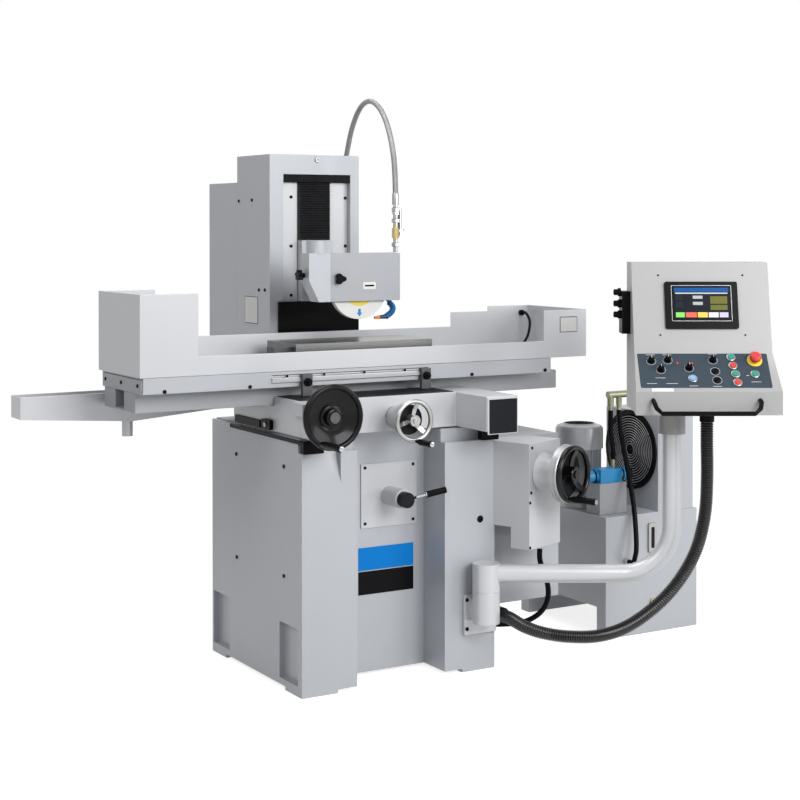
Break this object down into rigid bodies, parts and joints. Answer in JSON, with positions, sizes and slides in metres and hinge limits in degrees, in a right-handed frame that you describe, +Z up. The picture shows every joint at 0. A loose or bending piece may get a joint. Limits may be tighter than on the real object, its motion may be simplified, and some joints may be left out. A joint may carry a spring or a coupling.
{
  "type": "surface grinder",
  "caption": "Column surface grinder with sliding table and magnetic chuck, wheelhead on a vertical slide, three handwheels, swivelling control pendant and hydraulic unit.",
  "frame": {"origin": "centre of the underside of the base's front left foot, on the floor", "axes": "+X along the table to the right, +Y from the operator to the column, +Z up"},
  "size_m": [2.283, 1.7259, 1.8169],
  "materials": {
    "abrasive": "matte",
    "alu": "satin",
    "black": "satin",
    "blue": "gloss",
    "chrome": "polished",
    "green": "gloss",
    "grey_paint": "satin",
    "red": "gloss",
    "rubber": "matte",
    "steel": "ground",
    "white_paint": "satin"
  },
  "bodies": {
    "base": {"base_casting": "grey_paint", "base_front_cover": "grey_paint", "column_casting": "grey_paint", "column_rear_cover": "grey_paint", "column_way_cover": "grey_paint", "way_bellows": "rubber", "elevating_gearbox": "grey_paint", "side_cabinet": "grey_paint", "arm_bracket": "alu", "pendant_conduit": "rubber", "gearbox_hose": "rubber", "braided_coolant_hose": "steel", "hydraulic_tank": "grey_paint", "pump_motor": "alu", "valve_manifold": "alu", "oil_cooler": "black"},
    "speed_lever": {"speed_lever": "black"},
    "elevation_screw": {"elevation_screw": "steel"},
    "wheelhead": {"wheelhead_housing": "grey_paint", "spindle_cartridge": "steel", "wheel_guard_body": "grey_paint", "coolant_valve": "chrome"},
    "spindle": {"spindle_shaft": "steel", "grinding_wheel": "abrasive"},
    "guard_cover": {"wheel_guard_cover": "grey_paint"},
    "guard_cover_knob": {"guard_cover_knob": "black"},
    "guard_star_knob": {"guard_star_knob": "black"},
    "coolant_valve_lever": {"coolant_valve_lever": "steel"},
    "saddle": {"saddle_casting": "white_paint", "saddle_way_beam": "grey_paint", "table_cylinder": "steel", "coolant_trough": "white_paint"},
    "table_handwheel": {"table_handwheel": "black"},
    "table_handwheel_grip": {"table_handwheel_grip": "black"},
    "cross_handwheel": {"cross_handwheel": "chrome"},
    "cross_handwheel_grip": {"cross_handwheel_grip": "black"},
    "table": {"table_casting": "grey_paint", "splash_tray": "grey_paint", "magnetic_chuck": "steel", "chuck_cable": "rubber", "piston_rod": "steel"},
    "trip_dog_left": {"trip_dog_left": "black"},
    "trip_dog_right": {"trip_dog_right": "black"},
    "elevating_handwheel": {"elevating_handwheel": "black"},
    "elevating_handwheel_grip": {"elevating_handwheel_grip": "black"},
    "pendant_arm": {"pendant_arm": "alu"},
    "pendant": {"pendant_housing": "grey_paint"},
    "cooler_fan": {"cooler_fan": "black"},
    "estop_button": {"estop_button": "red"},
    "green_button_1": {"green_button_1": "green"},
    "red_button_1": {"red_button_1": "red"},
    "green_button_2": {"green_button_2": "green"},
    "red_button_2": {"red_button_2": "red"},
    "green_button_3": {"green_button_3": "green"},
    "lit_button": {"lit_button": "blue"},
    "selector_1": {"selector_1": "black"},
    "selector_2": {"selector_2": "black"},
    "feed_knob_1": {"feed_knob_1": "black"},
    "feed_knob_2": {"feed_knob_2": "black"},
    "feed_knob_3": {"feed_knob_3": "black"}
  },
  "joints": [
    {"name": "speed_lever_swing", "type": "hinge", "parent": "base", "child": "speed_lever", "pos_m": [0.307, -0.0226, 0.552], "axis": [0, -1, 0], "range_deg": [-35, 25]},
    {"name": "wheelhead_slide", "type": "slide", "parent": "base", "child": "wheelhead", "axis": [0, 0, 1], "range_m": [-0.06, 0.15], "deforming": ["way_bellows", "braided_coolant_hose"]},
    {"name": "elevation_screw_turn", "type": "hinge", "parent": "base", "child": "elevation_screw", "pos_m": [0.372, 0.5725, 0.9903], "axis": [0, 0, 1], "continuous": true},
    {"name": "elevating_handwheel_turn", "type": "hinge", "parent": "base", "child": "elevating_handwheel", "pos_m": [0.77896, -0.25565, 0.622], "axis": [0.3584, -0.9336, 0], "continuous": true},
    {"name": "elevating_grip_turn", "type": "hinge", "parent": "elevating_handwheel", "child": "elevating_handwheel_grip", "pos_m": [0.73791, -0.28566, 0.55445], "axis": [0.3584, -0.9336, 0], "continuous": true},
    {"name": "spindle_spin", "type": "hinge", "parent": "wheelhead", "child": "spindle", "pos_m": [0.28, 0.207, 1.196], "axis": [0, 1, 0], "continuous": true},
    {"name": "guard_cover_hinge", "type": "hinge", "parent": "wheelhead", "child": "guard_cover", "pos_m": [0.4268, 0.2385, 1.164], "axis": [0, 0, 1], "range_deg": [0, 88]},
    {"name": "guard_cover_knob_turn", "type": "hinge", "parent": "guard_cover", "child": "guard_cover_knob", "pos_m": [0.198, 0.1927, 1.224], "axis": [0, -1, 0], "continuous": true},
    {"name": "guard_star_knob_turn", "type": "hinge", "parent": "wheelhead", "child": "guard_star_knob", "pos_m": [0.0927, 0.226, 1.236], "axis": [-1, 0, 0], "continuous": true},
    {"name": "valve_lever_turn", "type": "hinge", "parent": "wheelhead", "child": "coolant_valve_lever", "pos_m": [0.4498, 0.24747, 1.367], "axis": [1, 0, 0], "range_deg": [0, 90]},
    {"name": "saddle_slide", "type": "slide", "parent": "base", "child": "saddle", "axis": [0, 1, 0], "range_m": [-0.15, 0.05]},
    {"name": "cross_handwheel_turn", "type": "hinge", "parent": "saddle", "child": "cross_handwheel", "pos_m": [0.28, -0.1293, 0.806], "axis": [0, -1, 0], "continuous": true},
    {"name": "cross_grip_turn", "type": "hinge", "parent": "cross_handwheel", "child": "cross_handwheel_grip", "pos_m": [0.28, -0.1426, 0.746], "axis": [0, -1, 0], "continuous": true},
    {"name": "table_slide", "type": "slide", "parent": "saddle", "child": "table", "axis": [1, 0, 0], "range_m": [-0.28, 0.28]},
    {"name": "table_handwheel_turn", "type": "hinge", "parent": "saddle", "child": "table_handwheel", "pos_m": [-0.01, -0.1563, 0.836], "axis": [0, -1, 0], "continuous": true},
    {"name": "table_grip_turn", "type": "hinge", "parent": "table_handwheel", "child": "table_handwheel_grip", "pos_m": [-0.06019, -0.1746, 0.76432], "axis": [0, -1, 0], "continuous": true},
    {"name": "trip_dog_left_slide", "type": "slide", "parent": "table", "child": "trip_dog_left", "axis": [1, 0, 0], "range_m": [-0.09, 0.15]},
    {"name": "trip_dog_right_slide", "type": "slide", "parent": "table", "child": "trip_dog_right", "axis": [1, 0, 0], "range_m": [-0.15, 0]},
    {"name": "arm_swivel", "type": "hinge", "parent": "base", "child": "pendant_arm", "pos_m": [0.549, -0.115, 0.26], "axis": [0, 0, 1], "range_deg": [-45, 10]},
    {"name": "pendant_swivel", "type": "hinge", "parent": "pendant_arm", "child": "pendant", "pos_m": [1.04281, -0.40762, 0.749], "axis": [0, 0, 1], "range_deg": [-40, 40]},
    {"name": "estop_button_press", "type": "slide", "parent": "pendant", "child": "estop_button", "axis": [0.3785, 0.6387, -0.67], "range_m": [0, 0.004], "stiffness_N_per_m": 600, "springref_m": -0.001},
    {"name": "green_button_1_press", "type": "slide", "parent": "pendant", "child": "green_button_1", "axis": [0.3785, 0.6387, -0.67], "range_m": [0, 0.004], "stiffness_N_per_m": 600, "springref_m": -0.001},
    {"name": "red_button_1_press", "type": "slide", "parent": "pendant", "child": "red_button_1", "axis": [0.3785, 0.6387, -0.67], "range_m": [0, 0.004], "stiffness_N_per_m": 600, "springref_m": -0.001},
    {"name": "green_button_2_press", "type": "slide", "parent": "pendant", "child": "green_button_2", "axis": [0.3785, 0.6387, -0.67], "range_m": [0, 0.004], "stiffness_N_per_m": 600, "springref_m": -0.001},
    {"name": "red_button_2_press", "type": "slide", "parent": "pendant", "child": "red_button_2", "axis": [0.3785, 0.6387, -0.67], "range_m": [0, 0.004], "stiffness_N_per_m": 600, "springref_m": -0.001},
    {"name": "green_button_3_press", "type": "slide", "parent": "pendant", "child": "green_button_3", "axis": [0.3785, 0.6387, -0.67], "range_m": [0, 0.004], "stiffness_N_per_m": 600, "springref_m": -0.001},
    {"name": "lit_button_press", "type": "slide", "parent": "pendant", "child": "lit_button", "axis": [0.3785, 0.6387, -0.67], "range_m": [0, 0.004], "stiffness_N_per_m": 600, "springref_m": -0.001},
    {"name": "selector_1_turn", "type": "hinge", "parent": "pendant", "child": "selector_1", "pos_m": [0.99365, -0.54355, 0.96226], "axis": [-0.3785, -0.6387, 0.67], "range_deg": [-45, 45]},
    {"name": "selector_2_turn", "type": "hinge", "parent": "pendant", "child": "selector_2", "pos_m": [1.06837, -0.56458, 0.98442], "axis": [-0.3785, -0.6387, 0.67], "range_deg": [-45, 45]},
    {"name": "feed_knob_1_turn", "type": "hinge", "parent": "pendant", "child": "feed_knob_1", "pos_m": [0.90733, -0.47147, 0.98221], "axis": [-0.3785, -0.6387, 0.67], "range_deg": [-150, 150]},
    {"name": "feed_knob_2_turn", "type": "hinge", "parent": "pendant", "child": "feed_knob_2", "pos_m": [0.95137, -0.49524, 0.98442], "axis": [-0.3785, -0.6387, 0.67], "range_deg": [-150, 150]},
    {"name": "feed_knob_3_turn", "type": "hinge", "parent": "pendant", "child": "feed_knob_3", "pos_m": [0.91848, -0.50366, 0.95783], "axis": [-0.3785, -0.6387, 0.67], "range_deg": [-150, 150]},
    {"name": "cooler_fan_spin", "type": "hinge", "parent": "base", "child": "cooler_fan", "pos_m": [1.4197, 0.183, 0.6073], "axis": [-1, 0, 0], "continuous": true}
  ],
  "couplings": [
    {"joint": "table_handwheel_turn", "follows": "table_slide", "rad_per_m": -88},
    {"joint": "cross_handwheel_turn", "follows": "saddle_slide", "rad_per_m": -1256.6},
    {"joint": "elevating_handwheel_turn", "follows": "wheelhead_slide", "rad_per_m": 1256.6},
    {"joint": "elevation_screw_turn", "follows": "wheelhead_slide", "rad_per_m": 1256.6}
  ]
}
